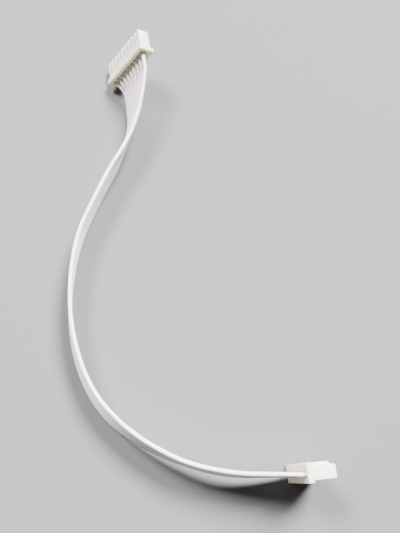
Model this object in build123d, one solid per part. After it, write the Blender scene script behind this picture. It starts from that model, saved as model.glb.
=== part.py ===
from build123d import *
import os
from math import cos, radians, sin, tan

# Ribbon lead, 9 wires, with a 2.5 mm pitch crimp housing on each end.
# Millimetres. +Z is up, +Y runs from housing A to housing B. The lead stands
# on a bench: housing A on its narrow end and tipped a little towards its mating
# end, housing B leaning on one corner, and the ribbon on edge between them. The
# origin is on the bench, below the middle of the box round the two housings.

# ---- driving dimensions -------------------------------------------------
CIRCUITS = 9
PITCH = 2.5                 # between contacts in a housing
LAST_TO_FLANGE = 2.45       # last contact to the flange's end
EAR = 0.8                   # flange beyond the plug body, at each row end
MATE_LENGTH = 9.4           # wire face to mating face
FLANGE_THICKNESS = 6.0
FLANGE_DEPTH = 2.1          # of the flange, along the mating direction
COMB_STEP = 0.8             # flange beyond the body, on the slotted side
GUIDE_STEP = 0.9            # flange beyond the body, on the guide rib side
LEAD_IN = 0.5               # chamfer on the mating end, guide rib side
END_EASE = 0.2              # chamfers on the mating end, at the row's ends
EAR_RAMP = 0.6              # chamfers on the ears
GUIDE_WIDTH = 1.2
GUIDE_INSET = 1.5           # guide rib to the body's row end
GUIDE_SHORT = 1.2           # guide rib's end to the mating face

CAVITY_WIDTH = 1.95
CAVITY_HEIGHT = 2.1
CONTACT_LEVEL = 0.4         # middle of the contact above the flange's mid-plane
FRONT_WALL = 0.6            # in front of each contact
MOUTH_FLARE = 0.1           # lead-in round each wire mouth
MOUTH_DEPTH = 0.2
SLOT_WIDTH = 1.0            # comb slots, open at the mating face
SLOT_LENGTH = 3.8

SHEET = 0.2                 # contact metal
CONTACT_FIT = 0.1           # all round each contact in its cavity
CRIMP_FIT = 0.02            # between a crimp and what it grips
NECK = 0.8                  # between the strand crimp and the contact's box
LANCE_WIDTH = 0.7           # lance that springs into the slot and catches on its end
LANCE_LENGTH = 2.0
LANCE_RISE = 0.36           # lance tip above the contact's box
STRIP_WIDTH = 0.9
WIRE_GRIP_START = 0.9       # insulation crimp, from the wire face
WIRE_GRIP_LENGTH = 1.3
CORE_GRIP_LENGTH = 1.2
CORE_STEP = 0.3             # length of the strip's rise to the strand crimp
WIRE_GRIP_SIDES = 8         # folds round the insulation
CORE_GRIP_SIDES = 6         # folds round the strands

WIRE_DIAMETER = 1.37        # insulation, and the pitch of the wires in the ribbon
CORE_DIAMETER = 0.6
GROOVE_HALF = 0.38          # ribbon's middle plane to a groove's bottom
CREST_HALF = 0.35           # half the flat on each wire's crest
SLIT = 0.05                 # between neighbouring wires where they part
INSULATION_END = 2.4        # insulation inside the housing
CORE_BARE = 1.9             # bare strands beyond it
TAIL_ROOT = 1.0             # start of a single wire, inside the ribbon's end
TAIL_SPLIT = 9.5            # ribbon's end to the route's next corner
TAIL_STRAIGHT = 8.0         # straight run outside each housing

# Route of the middle wire on the bench, from housing A's wire face to
# housing B's: X and Y of each corner.
ROUTE = [(28.5, -78.7), (2.8, -79.1), (-23.0, -69.7), (-41.0, -53.3), (-49.0, -28.8),
         (-49.0, -2.8), (-41.8, 18.3), (-28.5, 45.3), (-29.6, 71.0)]
ARC_SHARE = 0.45            # of the shorter run, taken by each corner's arc
WIRE_SIDES = 6              # flats round a single wire, which is kept plain

# How each housing sits: the heading of its mating direction, its dip below
# the level and its roll about that direction.
HEADING_A_DEG = 5.7
DIP_A_DEG = 7.6
ROLL_A_DEG = 179.2
HEADING_B_DEG = 98.6
DIP_B_DEG = 3.0
ROLL_B_DEG = 36.6

# ---- worked out ---------------------------------------------------------
MIDDLE = (CIRCUITS - 1) / 2
FLANGE_LENGTH = (CIRCUITS - 1) * PITCH + 2 * LAST_TO_FLANGE
BODY_LENGTH = FLANGE_LENGTH - 2 * EAR
COMB_FACE = FLANGE_THICKNESS / 2 - COMB_STEP
GUIDE_FACE = GUIDE_STEP - FLANGE_THICKNESS / 2
BOX_WIDTH = CAVITY_WIDTH - 2 * CONTACT_FIT
BOX_HEIGHT = CAVITY_HEIGHT - 2 * CONTACT_FIT
BOX_FLOOR = CONTACT_LEVEL - BOX_HEIGHT / 2
BOX_TOP = CONTACT_LEVEL + BOX_HEIGHT / 2
BOX_END = MATE_LENGTH - FRONT_WALL - CONTACT_FIT
TAIL_RADIUS = (WIRE_DIAMETER - SLIT) / 2
WIRE_GRIP = TAIL_RADIUS + CRIMP_FIT
CORE_GRIP = CORE_DIAMETER / 2 + CRIMP_FIT
WIRE_LEVEL = BOX_FLOOR + SHEET + WIRE_GRIP
CORE_GRIP_START = INSULATION_END + CORE_STEP
CORE_GRIP_END = CORE_GRIP_START + CORE_GRIP_LENGTH
BOX_START = CORE_GRIP_END + NECK
BOX_LENGTH = BOX_END - BOX_START
SLOT_START = MATE_LENGTH - SLOT_LENGTH
RIBBON_LEVEL = CIRCUITS * WIRE_DIAMETER / 2
STEPS = [wire - MIDDLE for wire in range(CIRCUITS)]


# ---- housing: X along the row, Y the mating direction, Z the slotted side --
def cavity():
    """One contact's way through the housing, with its flared mouth and comb slot."""
    bore = Pos(0, 0, CONTACT_LEVEL) * Box(
        CAVITY_WIDTH, MATE_LENGTH - FRONT_WALL, CAVITY_HEIGHT,
        align=(Align.CENTER, Align.MIN, Align.CENTER))
    entry = Plane(origin=(0, 0, CONTACT_LEVEL), x_dir=(1, 0, 0), z_dir=(0, 1, 0))
    wide = entry * Rectangle(CAVITY_WIDTH + 2 * MOUTH_FLARE, CAVITY_HEIGHT + 2 * MOUTH_FLARE)
    narrow = entry.offset(MOUTH_DEPTH) * Rectangle(CAVITY_WIDTH, CAVITY_HEIGHT)
    mouth = loft([wide.face(), narrow.face()])
    slot = Pos(0, MATE_LENGTH, BOX_FLOOR) * Box(
        SLOT_WIDTH, SLOT_LENGTH, COMB_FACE - BOX_FLOOR,
        align=(Align.CENTER, Align.MAX, Align.MIN))
    return bore + mouth + slot


def guide_rib():
    """One rib that keys the plug into its header; its end slopes down to the body."""
    reach = MATE_LENGTH - GUIDE_SHORT
    outer = -FLANGE_THICKNESS / 2
    outline = Polyline((0, GUIDE_FACE), (0, outer), (reach - GUIDE_STEP, outer),
                       (reach, GUIDE_FACE), close=True)
    return extrude(Plane.YZ * make_face(outline), GUIDE_WIDTH / 2, both=True)


def housing():
    """Moulded crimp housing: flange with ears, plug body, guide ribs and nine cavities."""
    body = Pos(0, 0, GUIDE_FACE) * Box(
        BODY_LENGTH, MATE_LENGTH, COMB_FACE - GUIDE_FACE,
        align=(Align.CENTER, Align.MIN, Align.MIN))
    body = chamfer(body.edges().group_by(Axis.Y)[-1].filter_by(Axis.Z), END_EASE)
    front = body.edges().group_by(Axis.Y)[-1]
    body = chamfer(front.filter_by(Axis.X).sort_by(Axis.Z)[:1], LEAD_IN)
    flange = Box(FLANGE_LENGTH, FLANGE_DEPTH, FLANGE_THICKNESS,
                 align=(Align.CENTER, Align.MIN, Align.CENTER))
    flange = chamfer(flange.edges().group_by(Axis.Y)[-1].filter_by(Axis.Z), EAR_RAMP)
    guide_x = BODY_LENGTH / 2 - GUIDE_INSET - GUIDE_WIDTH / 2
    shape = flange + body + [Pos(side * guide_x, 0, 0) * guide_rib() for side in (-1, 1)]
    return shape - [Pos(step * PITCH, 0, 0) * cavity() for step in STEPS]


# ---- contact: the same axes, centred on its own cavity --------------------
def crimp(start, length, inner, sides):
    """Wings folded round a wire or its strands, with their seam on top."""
    plane = Plane(origin=(0, start, WIRE_LEVEL), x_dir=(1, 0, 0), z_dir=(0, -1, 0))
    ring = (RegularPolygon(inner + SHEET, sides, major_radius=False, rotation=90 - 180 / sides)
            - RegularPolygon(inner, sides, major_radius=False, rotation=90 - 180 / sides))
    seam = Pos(0, inner) * Rectangle(SHEET, inner + SHEET)
    return extrude(plane * (ring - seam), -length)


def bent_strip(points, width):
    """Sheet metal bent along Y, from the upper points of its side outline."""
    under = [(y, z - SHEET) for y, z in reversed(points)]
    outline = Polyline(*points, *under, close=True)
    return extrude(Plane.YZ * make_face(outline), width / 2, both=True)


def contact():
    """Stamped contact: box with a spring tongue, locking lance, strip and two crimps."""
    low = BOX_FLOOR + SHEET
    box = Box(BOX_WIDTH, BOX_LENGTH, BOX_HEIGHT) - Box(
        BOX_WIDTH - 2 * SHEET, BOX_LENGTH, BOX_HEIGHT - 2 * SHEET)
    box = Pos(0, BOX_START + BOX_LENGTH / 2, CONTACT_LEVEL) * box
    lance = bent_strip([(SLOT_START, BOX_TOP + LANCE_RISE),
                        (SLOT_START + LANCE_LENGTH, BOX_TOP)], LANCE_WIDTH)
    tongue = bent_strip([(BOX_START, low), (BOX_START + BOX_LENGTH / 2, CONTACT_LEVEL),
                         (BOX_END, low)], STRIP_WIDTH)
    core_floor = WIRE_LEVEL - CORE_GRIP
    strip = bent_strip([(WIRE_GRIP_START, low), (INSULATION_END, low),
                        (CORE_GRIP_START, core_floor), (CORE_GRIP_END, core_floor),
                        (BOX_START, low), (BOX_START + SHEET, low)], STRIP_WIDTH)
    return (strip + crimp(WIRE_GRIP_START, WIRE_GRIP_LENGTH, WIRE_GRIP, WIRE_GRIP_SIDES)
            + crimp(CORE_GRIP_START, CORE_GRIP_LENGTH, CORE_GRIP, CORE_GRIP_SIDES)
            + box + lance + tongue)


# ---- seats: where each housing stands on the bench ------------------------
def seat(heading, dip, roll, corner, shape):
    """Place of a housing whose wire face is over one end of the route."""
    mate = Vector(1, 0, 0).rotate(Axis.Y, dip).rotate(Axis.Z, heading)
    level = mate.cross(Vector(0, 0, 1)).normalized()
    row = level.cross(mate) * cos(radians(roll)) + level * sin(radians(roll))
    where = Plane(origin=(*corner, 0), x_dir=row, z_dir=row.cross(mate)).location
    lowest = (where * shape).bounding_box().min.Z
    return Pos(0, 0, -lowest) * where


# ---- ribbon ----------------------------------------------------------------
def route_line(points):
    """Straight runs joined by the widest tangent arcs that they allow."""
    radii = []
    for before, corner, after in zip(points, points[1:], points[2:]):
        run_in = corner - before
        run_out = after - corner
        half_turn = radians(run_in.get_angle(run_out)) / 2
        radii.append(ARC_SHARE * min(run_in.length, run_out.length) / tan(half_turn))
    print("  radii", [round(radius, 1) for radius in radii])
    return FilletPolyline(*points, radius=radii)


def swept(section, points):
    """A section carried along a route, its Y axis upright."""
    line = route_line(points)
    along = line % 0
    start = Plane(origin=line @ 0, x_dir=Vector(0, 0, 1).cross(along), z_dir=along)
    shape = sweep(start * section, path=line)
    print("  length %.2f, volume %.2f, section times length %.2f"
          % (line.length, shape.volume, line.length * section.area))
    return shape


def ribbon_section():
    """Nine wires side by side as one face, grooved between the wires."""
    half = WIRE_DIAMETER / 2
    side = []
    for step in STEPS:
        middle = step * WIRE_DIAMETER
        side += [(half, middle - CREST_HALF), (half, middle + CREST_HALF),
                 (GROOVE_HALF, middle + half)]
    side.insert(0, (GROOVE_HALF, -RIBBON_LEVEL))
    other = [(-x, y) for x, y in reversed(side)]
    return make_face(Polyline(*side, *other, close=True))


def tail_route(split, corner, where, step, flip):
    """Points of one wire, from the ribbon's end to its end in the housing."""
    climb = Vector(0, 0, RIBBON_LEVEL + step * WIRE_DIAMETER)
    across = flip * step * PITCH
    root = split + (split - corner).normalized() * TAIL_ROOT
    outside = (where * Pos(across, -TAIL_STRAIGHT, WIRE_LEVEL)).position
    inside = (where * Pos(across, INSULATION_END, WIRE_LEVEL)).position
    return [root + climb, corner + climb, outside, inside]


# ---- the lead ---------------------------------------------------------------
plug = housing()
terminal = contact()
bare_end = Pos(0, INSULATION_END, WIRE_LEVEL) * extrude(
    Plane.XZ * RegularPolygon(CORE_DIAMETER / 2, WIRE_SIDES), -CORE_BARE)

corners = [Vector(x, y) for x, y in ROUTE]
split_a = corners[1] + (corners[2] - corners[1]).normalized() * TAIL_SPLIT
split_b = corners[-2] + (corners[-3] - corners[-2]).normalized() * TAIL_SPLIT
# Each end: its name, its place, its split, the route's corner beside the
# split, and whether its row runs up the ribbon (1) or down it (-1).
ends = [("a", seat(HEADING_A_DEG, DIP_A_DEG, ROLL_A_DEG, ROUTE[0], plug), split_a, corners[1], -1),
        ("b", seat(HEADING_B_DEG, DIP_B_DEG, ROLL_B_DEG, ROUTE[-1], plug), split_b, corners[-2], 1)]

level = Vector(0, 0, RIBBON_LEVEL)
print("ribbon")
ribbon = swept(ribbon_section(), [point + level for point in [split_a, *corners[2:-2], split_b]])
nodes = {}
tails = []
for name, where, split, corner, flip in ends:
    nodes["housing_" + name] = where * plug
    for number, step in enumerate(STEPS, 1):
        here = where * Pos(flip * step * PITCH, 0, 0)
        nodes["contact_%s_%d" % (name, number)] = here * terminal
        nodes["conductor_%s_%d" % (name, number)] = here * bare_end
        print("tail", name, number)
        tails.append(swept(RegularPolygon(TAIL_RADIUS, WIRE_SIDES),
                           tail_route(split, corner, where, step, flip)))
nodes["ribbon"] = ribbon + tails

box = (nodes["housing_a"] + nodes["housing_b"]).bounding_box()
print("housings from", box.min, "to", box.max)

os.makedirs("parts", exist_ok=True)
for name, shape in nodes.items():
    export_step(shape, "parts/%s.step" % name)
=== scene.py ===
"""Looks for a nine-wire ribbon lead with a slotted nylon crimp plug on each end.

The lead stands on a bench: the ribbon on its edge in a long curve, and each plug on a
narrow end. Plug A is the one near -Y, plug B the one near +Y. Lengths are in metres.
"""

import logging
import math
from dataclasses import dataclass, field
from enum import Enum
from typing import Any

import bmesh
import bpy
import numpy as np
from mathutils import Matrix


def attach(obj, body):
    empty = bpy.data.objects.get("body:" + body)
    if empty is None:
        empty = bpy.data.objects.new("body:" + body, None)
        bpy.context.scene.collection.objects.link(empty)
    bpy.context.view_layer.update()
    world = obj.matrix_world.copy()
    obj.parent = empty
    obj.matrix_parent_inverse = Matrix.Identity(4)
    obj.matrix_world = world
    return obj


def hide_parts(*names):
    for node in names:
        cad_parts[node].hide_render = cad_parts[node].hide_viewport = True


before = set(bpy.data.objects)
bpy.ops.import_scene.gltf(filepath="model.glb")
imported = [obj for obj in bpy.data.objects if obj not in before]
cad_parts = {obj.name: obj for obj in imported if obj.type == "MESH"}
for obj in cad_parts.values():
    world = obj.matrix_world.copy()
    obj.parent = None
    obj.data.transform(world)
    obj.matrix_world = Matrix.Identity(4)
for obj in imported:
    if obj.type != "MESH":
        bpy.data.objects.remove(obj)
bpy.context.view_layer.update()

log = logging.getLogger("ribbon_lead")
MM = 0.001
TAU = 2 * math.pi
UP = (0, 0, 1)

Colour = tuple[float, float, float]
Point = tuple[float, float, float]
Span = tuple[float, float]


# ---- shader helpers ---------------------------------------------------------------
class Value:
    """A node's output that takes part in Python arithmetic through Math nodes."""

    def __init__(self, sheet: "Sheet", socket: bpy.types.NodeSocket) -> None:
        """Keeps the sheet that the socket's node is on."""
        self.sheet = sheet
        self.socket = socket

    def _math(self, operation: str, first: Any, second: Any) -> "Value":
        """Adds one Math node.

        Args:
            operation: The node's operation.
            first: A Value or a number.
            second: A Value or a number.

        Returns:
            The node's result.
        """
        return self.sheet.node("ShaderNodeMath", {"operation": operation}, {0: first, 1: second})

    def __add__(self, other: Any) -> "Value":
        """Sum."""
        return self._math("ADD", self, other)

    __radd__ = __add__

    def __sub__(self, other: Any) -> "Value":
        """Difference."""
        return self._math("SUBTRACT", self, other)

    def __rsub__(self, other: Any) -> "Value":
        """Difference, the other way round."""
        return self._math("SUBTRACT", other, self)

    def __mul__(self, other: Any) -> "Value":
        """Product."""
        return self._math("MULTIPLY", self, other)

    __rmul__ = __mul__

    def nearest(self, pitch: float) -> "Value":
        """Distance from the nearest multiple of a pitch."""
        return self._math("PINGPONG", self, pitch / 2)

    def step_up(self, low: float, high: float) -> "Value":
        """A smooth step from 0 at low to 1 at high.

        Args:
            low: Where the step starts.
            high: Where it ends.

        Returns:
            The stepped value.
        """
        settings = {"interpolation_type": "SMOOTHSTEP", "clamp": True}
        inputs = {"Value": self, "From Min": low, "From Max": high}
        return self.sheet.node("ShaderNodeMapRange", settings, inputs)


class Sheet:
    """A node tree, and the one method that adds nodes to it."""

    def __init__(self, tree: bpy.types.NodeTree) -> None:
        """Keeps the tree."""
        self.tree = tree

    def node(self, kind: str, settings: dict[str, Any] | None = None,
             inputs: dict[Any, Any] | None = None, output: Any = 0) -> Value:
        """Adds a node, applies its settings first and then its inputs.

        Args:
            kind: The node's type.
            settings: Properties of the node.
            inputs: Values, numbers or colours by socket name or number.
            output: The output's name or number.

        Returns:
            The chosen output.
        """
        made = self.tree.nodes.new(kind)
        for key, setting in (settings or {}).items():
            setattr(made, key, setting)
        for key, source in (inputs or {}).items():
            self.feed(made.inputs[key], source)
        return Value(self, made.outputs[output])

    def feed(self, socket: bpy.types.NodeSocket, source: Any) -> None:
        """Links a Value to a socket, or sets a number, vector or colour on it.

        Args:
            socket: The input socket.
            source: What it gets.
        """
        if isinstance(source, Value):
            self.tree.links.new(source.socket, socket)
        elif socket.type == "RGBA":
            socket.default_value = (*source, 1.0)
        else:
            socket.default_value = source


class ShaderSheet(Sheet):
    """The node tree of one material."""

    def __init__(self, name: str) -> None:
        """Starts a material with a Principled shader and an output only.

        Args:
            name: The material's name.
        """
        self.material = bpy.data.materials.new(name)
        self.material.use_nodes = True
        super().__init__(self.material.node_tree)
        self.shader = self.tree.nodes["Principled BSDF"]

    def set(self, **sockets: Any) -> None:
        """Feeds the shader's sockets, whose names have spaces where these have underscores."""
        for name, source in sockets.items():
            self.feed(self.shader.inputs[name.replace("_", " ")], source)

    def place(self) -> Value:
        """Object coordinates, in metres in the lead's own frame."""
        return self.node("ShaderNodeTexCoord", output="Object")

    def vector(self, operation: str, first: Any, second: Any, output: Any = 0) -> Value:
        """The result of one Vector Math node on two vectors."""
        return self.node("ShaderNodeVectorMath", {"operation": operation},
                         {0: first, 1: second}, output)

    def noise(self, place: Value, size: float, detail: float, stretch: float = 1.0) -> Value:
        """Cloudy noise from 0 to 1.

        Args:
            place: Where it is read.
            size: Size of its grains.
            detail: Octaves.
            stretch: How many times longer the grains are along the second axis.

        Returns:
            The noise.
        """
        grains = (1 / size, 1 / (size * stretch), 1 / size)
        inputs = {"Vector": self.vector("MULTIPLY", place, grains), "Scale": 1.0, "Detail": detail}
        return self.node("ShaderNodeTexNoise", {}, inputs, "Fac")

    def blend(self, amount: Any, first: Any, second: Any) -> Value:
        """A colour between two others.

        Args:
            amount: 0 for the first, 1 for the second.
            first: A colour.
            second: A colour.

        Returns:
            The mixed colour.
        """
        inputs = {0: amount, 6: first, 7: second}
        return self.node("ShaderNodeMix", {"data_type": "RGBA"}, inputs, 2)

    def bump(self, height: Value, depth: float, strength: float = 1.0,
             normal: Value | None = None) -> Value:
        """A bumped normal.

        Args:
            height: The surface's height, from 0 to 1.
            depth: How deep a height of 1 is.
            strength: Share of the bump that shows.
            normal: A bump under this one.

        Returns:
            The normal.
        """
        inputs = {"Height": height, "Distance": depth, "Strength": strength}
        if normal is not None:
            inputs["Normal"] = normal
        return self.node("ShaderNodeBump", {}, inputs, "Normal")


# ---- finishes ---------------------------------------------------------------------
@dataclass(frozen=True)
class Nylon:
    """Natural nylon: milky and waxy, with a fine moulded skin, painted cream shade on the flange
    and painted shade in the comb's slots.
    """

    clear: Colour = (0.87, 0.885, 0.775)
    cloud: Colour = (0.79, 0.815, 0.70)
    cloud_size: float = 2.2 * MM
    cloud_span: Span = (0.35, 0.75)
    # Painted cream shade on the flange, which fades out between these depths from the wire face.
    cream_shade: Colour = (0.86, 0.82, 0.56)
    cream_shade_share: float = 0.9
    cream_shade_depths: Span = (1.05 * MM, 4.41 * MM)
    # The comb's slots look deeper in colour. Their tint fades out beside each slot, starts at
    # Painted shade in the comb's slots: a darker colour in them. It fades out beside each slot,
    # starts at a depth from the wire face, and ends under the comb's face and above the middle
    # wall.
    slot_shade: Colour = (0.50, 0.54, 0.46)
    slot_shade_share: float = 0.8
    slot_pitch: float = 2.5 * MM
    slot_sides: Span = (0.5 * MM, 0.625 * MM)
    slot_depths: Span = (5.432 * MM, 5.6 * MM)
    slot_tops: Span = (1.683 * MM, 1.87 * MM)
    slot_floors: Span = (-1.122 * MM, -0.935 * MM)
    # The skin: a fine grain on slow flow marks.
    grain_size: float = 0.12 * MM
    grain_depth: float = 0.006 * MM
    flow_size: float = 1.3 * MM
    flow_depth: float = 0.03 * MM
    flow_strength: float = 0.6
    roughness: float = 0.36
    cloud_dullness: float = 0.16
    grain_gloss: float = 0.06
    # Light that goes into the nylon and comes out nearby.
    glow: float = 0.65
    glow_reach: float = 1.8 * MM
    glow_colour: Colour = (1.0, 0.95, 0.75)
    ior: float = 1.53

    def material(self, name: str, origin: Point, mating: Point, row: Point) -> bpy.types.Material:
        """Builds the material for one plug.

        Args:
            name: The material's name.
            origin: Middle of the row of wires, in the plug's wire face.
            mating: Unit direction in which the plug is pushed home.
            row: Unit direction of the row of wires.

        Returns:
            The material.
        """
        sheet = ShaderSheet(name)
        place = sheet.place()
        comb = tuple(float(part) for part in np.cross(row, mating))
        from_face = sheet.vector("SUBTRACT", place, origin)
        depth, beside, level = (
            sheet.vector("DOT_PRODUCT", from_face, way, "Value") for way in (mating, row, comb))
        clouds = sheet.noise(place, self.cloud_size, detail=4.0)
        milky = sheet.blend(clouds.step_up(*self.cloud_span), self.clear, self.cloud)
        # Painted shade: the comb's slots get a darker colour.
        slot_shade_mask = ((1 - beside.nearest(self.slot_pitch).step_up(*self.slot_sides))
                   * depth.step_up(*self.slot_depths)
                   * (1 - level.step_up(*self.slot_tops))
                   * level.step_up(*self.slot_floors))
        body = sheet.blend(slot_shade_mask * self.slot_shade_share, milky, self.slot_shade)
        # Painted shade: cream towards the wire face, where the flange faces down.
        cream_shade_mask = 1 - depth.step_up(*self.cream_shade_depths)
        grain = sheet.noise(place, self.grain_size, detail=2.0)
        flow = sheet.noise(place, self.flow_size, detail=2.0)
        skin = sheet.bump(grain, self.grain_depth)
        sheet.set(Base_Color=sheet.blend(cream_shade_mask * self.cream_shade_share, body, self.cream_shade),
                  Roughness=(self.roughness + self.cloud_dullness * clouds
                             - self.grain_gloss * grain),
                  Normal=sheet.bump(flow, self.flow_depth, self.flow_strength, skin),
                  Subsurface_Weight=self.glow, Subsurface_Scale=self.glow_reach,
                  Subsurface_Radius=self.glow_colour, IOR=self.ior)
        return sheet.material


@dataclass(frozen=True)
class Vinyl:
    """White flexible vinyl: soft sheen, painted rosy shade in the hollows between wires, faint
    draw lines.
    """

    crest: Colour = (0.93, 0.93, 0.92)
    # Painted rosy shade for the hollows between wires.
    rosy_shade: Colour = (0.84, 0.48, 0.56)
    scuff: Colour = (0.82, 0.82, 0.80)
    scuff_size: float = 1.6 * MM
    scuff_span: Span = (0.55, 0.8)
    scuff_share: float = 0.5
    drawn_size: float = 0.35 * MM
    drawn_depth: float = 0.012 * MM
    drawn_strength: float = 0.7
    roughness: float = 0.34
    scuff_dullness: float = 0.14
    drawn_dullness: float = 0.08
    # Light that goes into the vinyl and comes out nearby.
    glow: float = 0.22
    glow_reach: float = 0.7 * MM
    glow_colour: Colour = (1.0, 0.62, 0.62)
    ior: float = 1.52

    def material(self, name: str) -> bpy.types.Material:
        """Builds the material, which paints a rosy shade by the wire's attribute "hollow_shade",
        from 0 to 1.

        Args:
            name: The material's name.

        Returns:
            The material.
        """
        sheet = ShaderSheet(name)
        hollow_shade = sheet.node("ShaderNodeAttribute", {"attribute_name": "hollow_shade"}, output="Fac")
        place = sheet.place()
        scuffs = sheet.noise(place, self.scuff_size, detail=5.0).step_up(*self.scuff_span)
        white = sheet.blend(scuffs * self.scuff_share, self.crest, self.scuff)
        drawn = sheet.noise(place, self.drawn_size, detail=3.0)
        # Painted rosy shade in the hollows between wires.
        sheet.set(Base_Color=sheet.blend(hollow_shade, white, self.rosy_shade),
                  Roughness=(self.roughness + self.scuff_dullness * scuffs
                             + self.drawn_dullness * drawn),
                  Normal=sheet.bump(drawn, self.drawn_depth, self.drawn_strength),
                  Subsurface_Weight=self.glow, Subsurface_Scale=self.glow_reach,
                  Subsurface_Radius=self.glow_colour, IOR=self.ior)
        return sheet.material


@dataclass(frozen=True)
class Plate:
    """Stamped sheet metal with a plated skin, faintly mottled and rolled."""

    bright: Colour
    dull: Colour
    roughness: float
    mottle_size: float = 0.5 * MM
    mottle_span: Span = (0.3, 0.7)
    mottle_dullness: float = 0.15
    rolled_size: float = 0.05 * MM
    rolled_stretch: float = 8.0
    rolled_depth: float = 0.003 * MM
    rolled_strength: float = 0.6

    def material(self, name: str) -> bpy.types.Material:
        """Builds the material.

        Args:
            name: The material's name.

        Returns:
            The material.
        """
        sheet = ShaderSheet(name)
        place = sheet.place()
        mottle = sheet.noise(place, self.mottle_size, detail=4.0)
        rolled = sheet.noise(place, self.rolled_size, detail=2.0, stretch=self.rolled_stretch)
        colour = sheet.blend(mottle.step_up(*self.mottle_span), self.bright, self.dull)
        sheet.set(Base_Color=colour, Metallic=1.0,
                  Roughness=self.roughness + self.mottle_dullness * mottle,
                  Normal=sheet.bump(rolled, self.rolled_depth, self.rolled_strength))
        return sheet.material


TIN = Plate((0.74, 0.73, 0.70), (0.62, 0.60, 0.56), 0.24)
COPPER = Plate((0.80, 0.50, 0.36), (0.66, 0.40, 0.29), 0.30)


# ---- mesh helpers -----------------------------------------------------------------
def unit(vectors: np.ndarray) -> np.ndarray:
    """Vectors of length one, in the same directions."""
    return vectors / np.linalg.norm(vectors, axis=-1, keepdims=True)


def travelled(line: np.ndarray) -> np.ndarray:
    """Length of a line up to each of its points, from 0 at the first."""
    return np.concatenate([[0], np.cumsum(np.linalg.norm(np.diff(line, axis=0), axis=1))])


def smooth_step(value: np.ndarray, low: float, high: float, haste: float = 1.0) -> np.ndarray:
    """3t^2 - 2t^3, where t is the share of the way from low to high to the power of haste."""
    share = np.clip((value - low) / (high - low), 0, 1) ** haste
    return share * share * (3 - 2 * share)


def put(name: str, data: bpy.types.ID) -> bpy.types.Object:
    """Puts an object for a mesh, light or camera at the origin.

    Args:
        name: The object's name.
        data: What it shows.

    Returns:
        The object.
    """
    made = bpy.data.objects.new(name, data)
    bpy.context.collection.objects.link(made)
    return made


def grid_mesh(name: str, rings: np.ndarray, hollow_shade: np.ndarray) -> bpy.types.Object:
    """Makes a closed tube from a grid of points, with a pole at each end.

    Quads join each ring to the next, and triangles join the first and last rings to a
    pole at their middles.

    Args:
        name: The object's name.
        rings: Points, stations by sides by 3, each ring running left-handed about the path.
        hollow_shade: Painted shade of the hollow between wires at each point, 0 to 1, stations by
            sides.

    Returns:
        The object, at the origin, with the painted hollow shade in its attribute "hollow_shade".
    """
    stations, sides = rings.shape[:2]
    index = np.arange(stations * sides).reshape(stations, sides)
    following = np.roll(index, -1, axis=1)
    quads = np.stack([index[:-1], following[:-1], following[1:], index[1:]], axis=-1)
    first_pole = stations * sides
    last_pole = first_pole + 1
    first_fan = np.stack([np.full(sides, first_pole), following[0], index[0]], axis=-1)
    last_fan = np.stack([np.full(sides, last_pole), index[-1], following[-1]], axis=-1)
    poles = [rings[0].mean(axis=0), rings[-1].mean(axis=0)]
    points = np.concatenate([rings.reshape(-1, 3), poles])
    mesh = bpy.data.meshes.new(name)
    faces = quads.reshape(-1, 4).tolist() + first_fan.tolist() + last_fan.tolist()
    mesh.from_pydata(points.tolist(), [], faces)
    # Painted shade of the hollows between wires, read by the vinyl.
    layer = mesh.attributes.new("hollow_shade", "FLOAT", "POINT")
    layer.data.foreach_set("value", np.append(hollow_shade.reshape(-1), (0.0, 0.0)))
    mesh.shade_smooth()
    return put(name, mesh)


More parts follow.
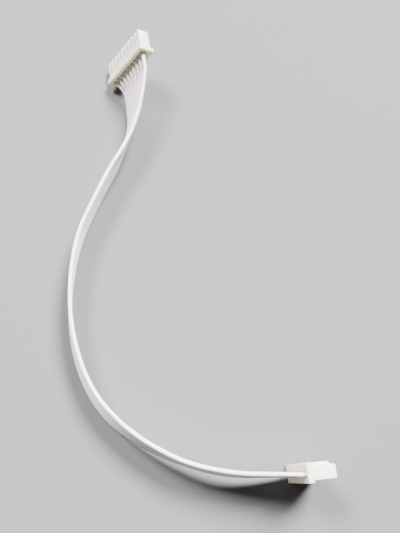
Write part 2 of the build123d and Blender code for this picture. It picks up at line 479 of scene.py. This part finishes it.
# ---- the ribbon -------------------------------------------------------------------
@dataclass
class Ribbon:
    """Nine wires moulded side by side, slit into single wires that fan out to each plug."""

    # Route of the middle wire, from inside plug A to inside plug B.
    route: tuple[Point, ...] = (
        (0.0309, -0.0788, 0.0125), (0.0279, -0.0791, 0.0129), (0.0014, -0.0791, 0.0110),
        (-0.0238, -0.0690, 0.0073), (-0.0404, -0.0538, 0.0063), (-0.0491, -0.0298, 0.0062),
        (-0.0489, -0.0016, 0.0062), (-0.0416, 0.0184, 0.0063), (-0.0284, 0.0452, 0.0075),
        (-0.0274, 0.0640, 0.0103), (-0.0298, 0.0704, 0.0121), (-0.0302, 0.0733, 0.0119))
    # Length of the line inside each plug.
    seated: float = 2.4 * MM
    wires: int = 9
    flat_pitch: float = 1.37 * MM
    plug_pitch: float = 2.5 * MM
    # A wire's radius where it is moulded to its neighbours, and where it is single.
    lobe_radius: float = 0.73 * MM
    single_radius: float = 0.66 * MM
    # Where each fan starts to narrow and where the wires are together, from plug A's wire
    # face and from the line's end in plug B.
    fan_a: Span = (0.0, 26 * MM)
    fan_b: Span = (0.4 * MM, 32 * MM)
    fan_haste: float = 0.75
    # Lean of the ribbon towards the inside of its curve: millimetres from plug A, degrees.
    lean: tuple[Span, ...] = (
        (0, 0.8), (24, 6), (36, 5), (65, 15), (90, 14), (119, 8), (137, 5), (151, 5.5),
        (163, 5), (176, 16), (188, 24), (198, 30), (205, 36.6))
    # Stations over which the lean is evened out, an odd number.
    lean_window: int = 13
    # How far a single wire strays from the row, its sway in radians per millimetre, and
    # where it starts, measured as the fans are.
    stray: float = 0.22 * MM
    sway: float = 0.16
    stray_start: Span = (0.0, 6 * MM)
    seed: int = 9
    # Cosines of the angles from the row at which the painted shade of a hollow between wires
    # starts and is full.
    hollow_shade: Span = (0.45, 0.90)
    # Painted shade in the hollows between wires: how dark it is in the ribbon, how much darker
    # where the wires part, and how soon along the fan that starts.
    groove_shade: float = 0.25
    cleft_shade: float = 0.65
    cleft_shade_haste: float = 5.0
    spline_steps: int = 40
    stations: int = 360
    sides: int = 24
    finish: Vinyl = field(default_factory=Vinyl)

    def centre_line(self) -> np.ndarray:
        """Reads the middle wire's line from a NURBS curve on the route's points.

        Returns:
            Points at even steps along it.
        """
        curve = bpy.data.curves.new("route", "CURVE")
        curve.dimensions = "3D"
        curve.resolution_u = self.spline_steps
        spline = curve.splines.new("NURBS")
        spline.points.add(len(self.route) - 1)
        spline.points.foreach_set("co", [c for point in self.route for c in (*point, 1.0)])
        spline.order_u = 3
        spline.use_endpoint_u = True
        holder = bpy.data.objects.new("route", curve)
        mesh = bpy.data.meshes.new_from_object(holder)
        line = np.empty(len(mesh.vertices) * 3)
        mesh.vertices.foreach_get("co", line)
        bpy.data.meshes.remove(mesh)
        bpy.data.objects.remove(holder)
        bpy.data.curves.remove(curve)
        line = line.reshape(-1, 3)
        gone = travelled(line)
        even = np.linspace(0, gone[-1], self.stations)
        return np.stack([np.interp(even, gone, line[:, axis]) for axis in range(3)], axis=-1)

    def row_direction(self, tangent: np.ndarray, from_a: np.ndarray, length: float) -> np.ndarray:
        """Direction of the row of wires: upright, turned towards the curve's inside by the lean.

        Args:
            tangent: Direction of the middle line at each of its points.
            from_a: How far each point is from plug A.
            length: Length of the line between the plugs.

        Returns:
            A unit vector at each point.
        """
        inward = unit(np.cross(tangent, UP))
        upward = np.cross(inward, tangent)
        stops, degrees = np.array(self.lean).T
        angle = np.radians(np.interp(from_a, stops / stops[-1] * length, degrees))
        window = np.hanning(self.lean_window)
        padded = np.pad(angle, self.lean_window // 2, mode="edge")
        angle = np.convolve(padded, window / window.sum(), mode="valid")[:, None]
        return np.cos(angle) * upward + np.sin(angle) * inward

    def build(self) -> list[bpy.types.Object]:
        """Makes the nine wires.

        Each wire's line is the middle line, moved along the row's direction by its step
        times the pitch, which narrows from the plugs' to the ribbon's along each fan. Where
        it is single, a slow sine sways it across the row. The painted shade in the hollows
        beside it is darkest where the wires part, and fades towards the plugs.

        Returns:
            The wires, lowest first.
        """
        line = self.centre_line()
        gone = travelled(line)
        tangent = unit(np.gradient(line, axis=0))
        length = gone[-1] - 2 * self.seated
        from_a = gone - self.seated
        from_b = gone[-1] - gone
        row = self.row_direction(tangent, from_a, length)
        face = np.cross(tangent, row)
        together = (smooth_step(from_a, *self.fan_a, self.fan_haste)
                    * smooth_step(from_b, *self.fan_b, self.fan_haste))
        apart = 1 - together
        pitch = self.plug_pitch + (self.flat_pitch - self.plug_pitch) * together
        radius = self.single_radius + (self.lobe_radius - self.single_radius) * together
        free = (apart * smooth_step(from_a, *self.stray_start)
                * smooth_step(from_b, *self.stray_start))
        # Painted shade of the hollows between wires, darkest where the wires part.
        shade = self.groove_shade + self.cleft_shade * np.clip(self.cleft_shade_haste * apart, 0, 1) * (1 - apart**2)
        random = np.random.default_rng(self.seed)
        material = self.finish.material("white_vinyl")
        made = []
        for wire in range(self.wires):
            step = wire - (self.wires - 1) / 2
            phase = random.uniform(0, TAU)
            reach = random.uniform(0.0, self.stray)
            stray = free * reach * np.sin(from_a / MM * self.sway + phase)
            path = line + row * (step * pitch)[:, None] + face * stray[:, None]
            shade_above = shade * (wire < self.wires - 1)
            shade_below = shade * (wire > 0)
            made.append(self.wire(f"wire_{wire + 1}", path, row, radius, shade_above, shade_below))
            made[-1].data.materials.append(material)
        return made

    def wire(self, name: str, path: np.ndarray, row: np.ndarray, radius: np.ndarray,
             shade_above: np.ndarray, shade_below: np.ndarray) -> bpy.types.Object:
        """Makes one wire, circles square to its line and closed at both ends, and attaches it to
        the lead's root.

        Args:
            name: The object's name.
            path: The wire's own line.
            row: Direction of the row of wires at each of its points.
            radius: Its radius there.
            shade_above: Painted shade of the hollow to the next wire up there, 0 to 1.
            shade_below: The same painted shade to the next wire down.

        Returns:
            The wire.
        """
        tangent = unit(np.gradient(path, axis=0))
        across = unit(row - (row * tangent).sum(axis=1, keepdims=True) * tangent)
        out = np.cross(tangent, across)
        turn = np.linspace(0, TAU, self.sides, endpoint=False)
        rings = path[:, None] + radius[:, None, None] * (
            np.cos(turn)[:, None] * across[:, None] + np.sin(turn)[:, None] * out[:, None])
        # Painted shade on the flanks that face each neighbour.
        hollow_shade = (shade_above[:, None] * smooth_step(np.cos(turn), *self.hollow_shade)
                  + shade_below[:, None] * smooth_step(-np.cos(turn), *self.hollow_shade))
        made = grid_mesh(name, rings, hollow_shade)
        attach(made, "root")
        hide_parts("ribbon")
        return made


# ---- the plugs --------------------------------------------------------------------
class End(Enum):
    """The lead's two plugs."""

    A = "a"
    B = "b"


@dataclass
class Plug:
    """One crimp plug: its housing with rounded outer edges, its contacts and bare strands."""

    end: End
    # Middle of the row of wires in the wire face, the way the plug is pushed home, and
    # the way the row of wires runs.
    origin: Point
    mating: Point
    row: Point
    circuits: int = 9
    # Edges: the radius and its steps, the least angle of a corner, and the least length.
    edge: float = 0.10 * MM
    edge_steps: int = 2
    corner: float = math.radians(28)
    shortest: float = 0.3 * MM
    weld: float = 0.001 * MM
    finish: Nylon = field(default_factory=Nylon)

    def soften(self) -> bpy.types.Object:
        """Stands a copy of the housing in its place, with its outer edges rounded.

        Inner edges and the shortest ones stay sharp. Large faces keep flat shading, because
        the normals are weighted by area.

        Returns:
            The copy.
        """
        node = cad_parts[f"housing_{self.end.value}"]
        mesh = bpy.data.meshes.new(f"plug_{self.end.value}")
        form = bmesh.new()
        form.from_mesh(node.data)
        bmesh.ops.remove_doubles(form, verts=form.verts[:], dist=self.weld)
        corners = [edge for edge in form.edges if edge.calc_face_angle() > self.corner]
        outer = [edge for edge in corners if edge.is_convex and edge.calc_length() > self.shortest]
        for edge in set(corners).difference(outer):
            edge.smooth = False
        bmesh.ops.bevel(form, geom=outer, offset=self.edge, offset_type="OFFSET",
                        segments=self.edge_steps, profile=0.5, affect="EDGES", clamp_overlap=True)
        form.to_mesh(mesh)
        form.free()
        made = put(mesh.name, mesh)
        even = made.modifiers.new("even", "WEIGHTED_NORMAL")
        even.keep_sharp = True
        name = f"nylon_{self.end.value}"
        mesh.materials.append(self.finish.material(name, self.origin, self.mating, self.row))
        mesh.shade_smooth()
        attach(made, "root")
        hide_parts(node.name)
        log.info("%s: housing with edges of %.2f mm", made.name, self.edge / MM)
        return made

    def dress_contacts(self, tin: bpy.types.Material, copper: bpy.types.Material) -> None:
        """Gives the contacts and the bare strands their metals.

        Args:
            tin: For the contacts.
            copper: For the strands.
        """
        for circuit in range(1, self.circuits + 1):
            for kind, material in (("contact", tin), ("conductor", copper)):
                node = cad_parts[f"{kind}_{self.end.value}_{circuit}"]
                node.data.materials.clear()
                node.data.materials.append(material)
        log.info("plug %s: %d contacts dressed", self.end.value, self.circuits)


# ---- studio -----------------------------------------------------------------------
@dataclass(frozen=True)
class Bench:
    """Plain pale bench top under the lead."""

    half: float = 10.0
    colour: Colour = (0.14, 0.14, 0.14)
    roughness: float = 0.75

    def lay(self) -> None:
        """Lays the bench top, a square about the origin."""
        half = self.half
        corners = [(-half, -half, 0), (half, -half, 0), (half, half, 0), (-half, half, 0)]
        mesh = bpy.data.meshes.new("bench")
        mesh.from_pydata(corners, [], [(0, 1, 2, 3)])
        sheet = ShaderSheet("bench_top")
        sheet.set(Base_Color=self.colour, Roughness=self.roughness)
        mesh.materials.append(sheet.material)
        put("bench", mesh)


@dataclass(frozen=True)
class Lamp:
    """A soft, even light on the whole bench."""

    name: str
    # Direction in which it is seen from the lead.
    way: Point
    # Its width in degrees, and its strength in watts per square metre square to it.
    spread: float
    strength: float

    def shine(self) -> None:
        """Turns the light on."""
        lamp = bpy.data.lights.new(self.name, "SUN")
        lamp.angle = math.radians(self.spread)
        lamp.energy = self.strength
        holder = put(self.name, lamp)
        holder.location = self.way
        holder.rotation_euler = holder.location.to_track_quat("Z", "Y").to_euler()


@dataclass(frozen=True)
class Studio:
    """The lights, the world past the bench, and the camera."""

    lamps: tuple[Lamp, ...] = (
        Lamp("key", (0.22, 0.30, 0.44), 20.0, 18.5),
        Lamp("overhead", (-0.20, 0.26, 0.44), 18.0, 8.5))
    # The world's own faint light, and what the camera sees past the bench.
    glow: Colour = (0.85, 0.9, 1.0)
    glow_strength: float = 0.10
    beyond: Colour = (0.95, 0.97, 1.0)
    # The camera: its place, degrees up from straight down, the lens and the sensor's width
    # in millimetres, and how near it sees.
    camera_place: Point = (-0.0026, -0.0743, 0.2323)
    camera_tilt: float = 16.5
    lens: float = 58.6
    sensor: float = 36.0
    near: float = 0.01

    def backdrop(self) -> None:
        """Makes a world that looks pale past the bench and adds little light of its own."""
        world = bpy.data.worlds.new("studio")
        world.use_nodes = True
        sheet = Sheet(world.node_tree)
        sheet.tree.nodes.remove(sheet.tree.nodes["Background"])
        glow = sheet.node("ShaderNodeBackground", {},
                          {"Color": self.glow, "Strength": self.glow_strength})
        pale = sheet.node("ShaderNodeBackground", {}, {"Color": self.beyond})
        seen = sheet.node("ShaderNodeLightPath", output="Is Camera Ray")
        either = sheet.node("ShaderNodeMixShader", {}, {0: seen, 1: glow, 2: pale})
        sheet.feed(sheet.tree.nodes["World Output"].inputs["Surface"], either)
        bpy.context.scene.world = world

    def shoot(self) -> None:
        """Sets the world, the lights and the camera."""
        self.backdrop()
        for lamp in self.lamps:
            lamp.shine()
        lens = bpy.data.cameras.new("camera")
        lens.sensor_width = self.sensor
        lens.sensor_fit = "HORIZONTAL"
        lens.lens = self.lens
        lens.clip_start = self.near
        eye = put("camera", lens)
        eye.location = self.camera_place
        eye.rotation_euler = (math.radians(self.camera_tilt), 0, 0)
        bpy.context.scene.camera = eye


PLUGS = (
    Plug(End.A, origin=(0.0285, -0.0790, 0.0128), mating=(0.986, 0.098, -0.132),
         row=(-0.130, -0.027, -0.991)),
    Plug(End.B, origin=(-0.0299, 0.0710, 0.0120), mating=(-0.149, 0.987, -0.052),
         row=(0.583, 0.131, 0.802)))


def main() -> None:
    """Builds the ribbon, the plugs, the bench and the studio."""
    logging.basicConfig(level=logging.INFO, format="%(name)s: %(message)s")
    Ribbon().build()
    tin = TIN.material("tinned_contact")
    copper = COPPER.material("bare_copper")
    for plug in PLUGS:
        plug.soften()
        plug.dress_contacts(tin, copper)
    Bench().lay()
    Studio().shoot()


if __name__ == "__main__":
    main()
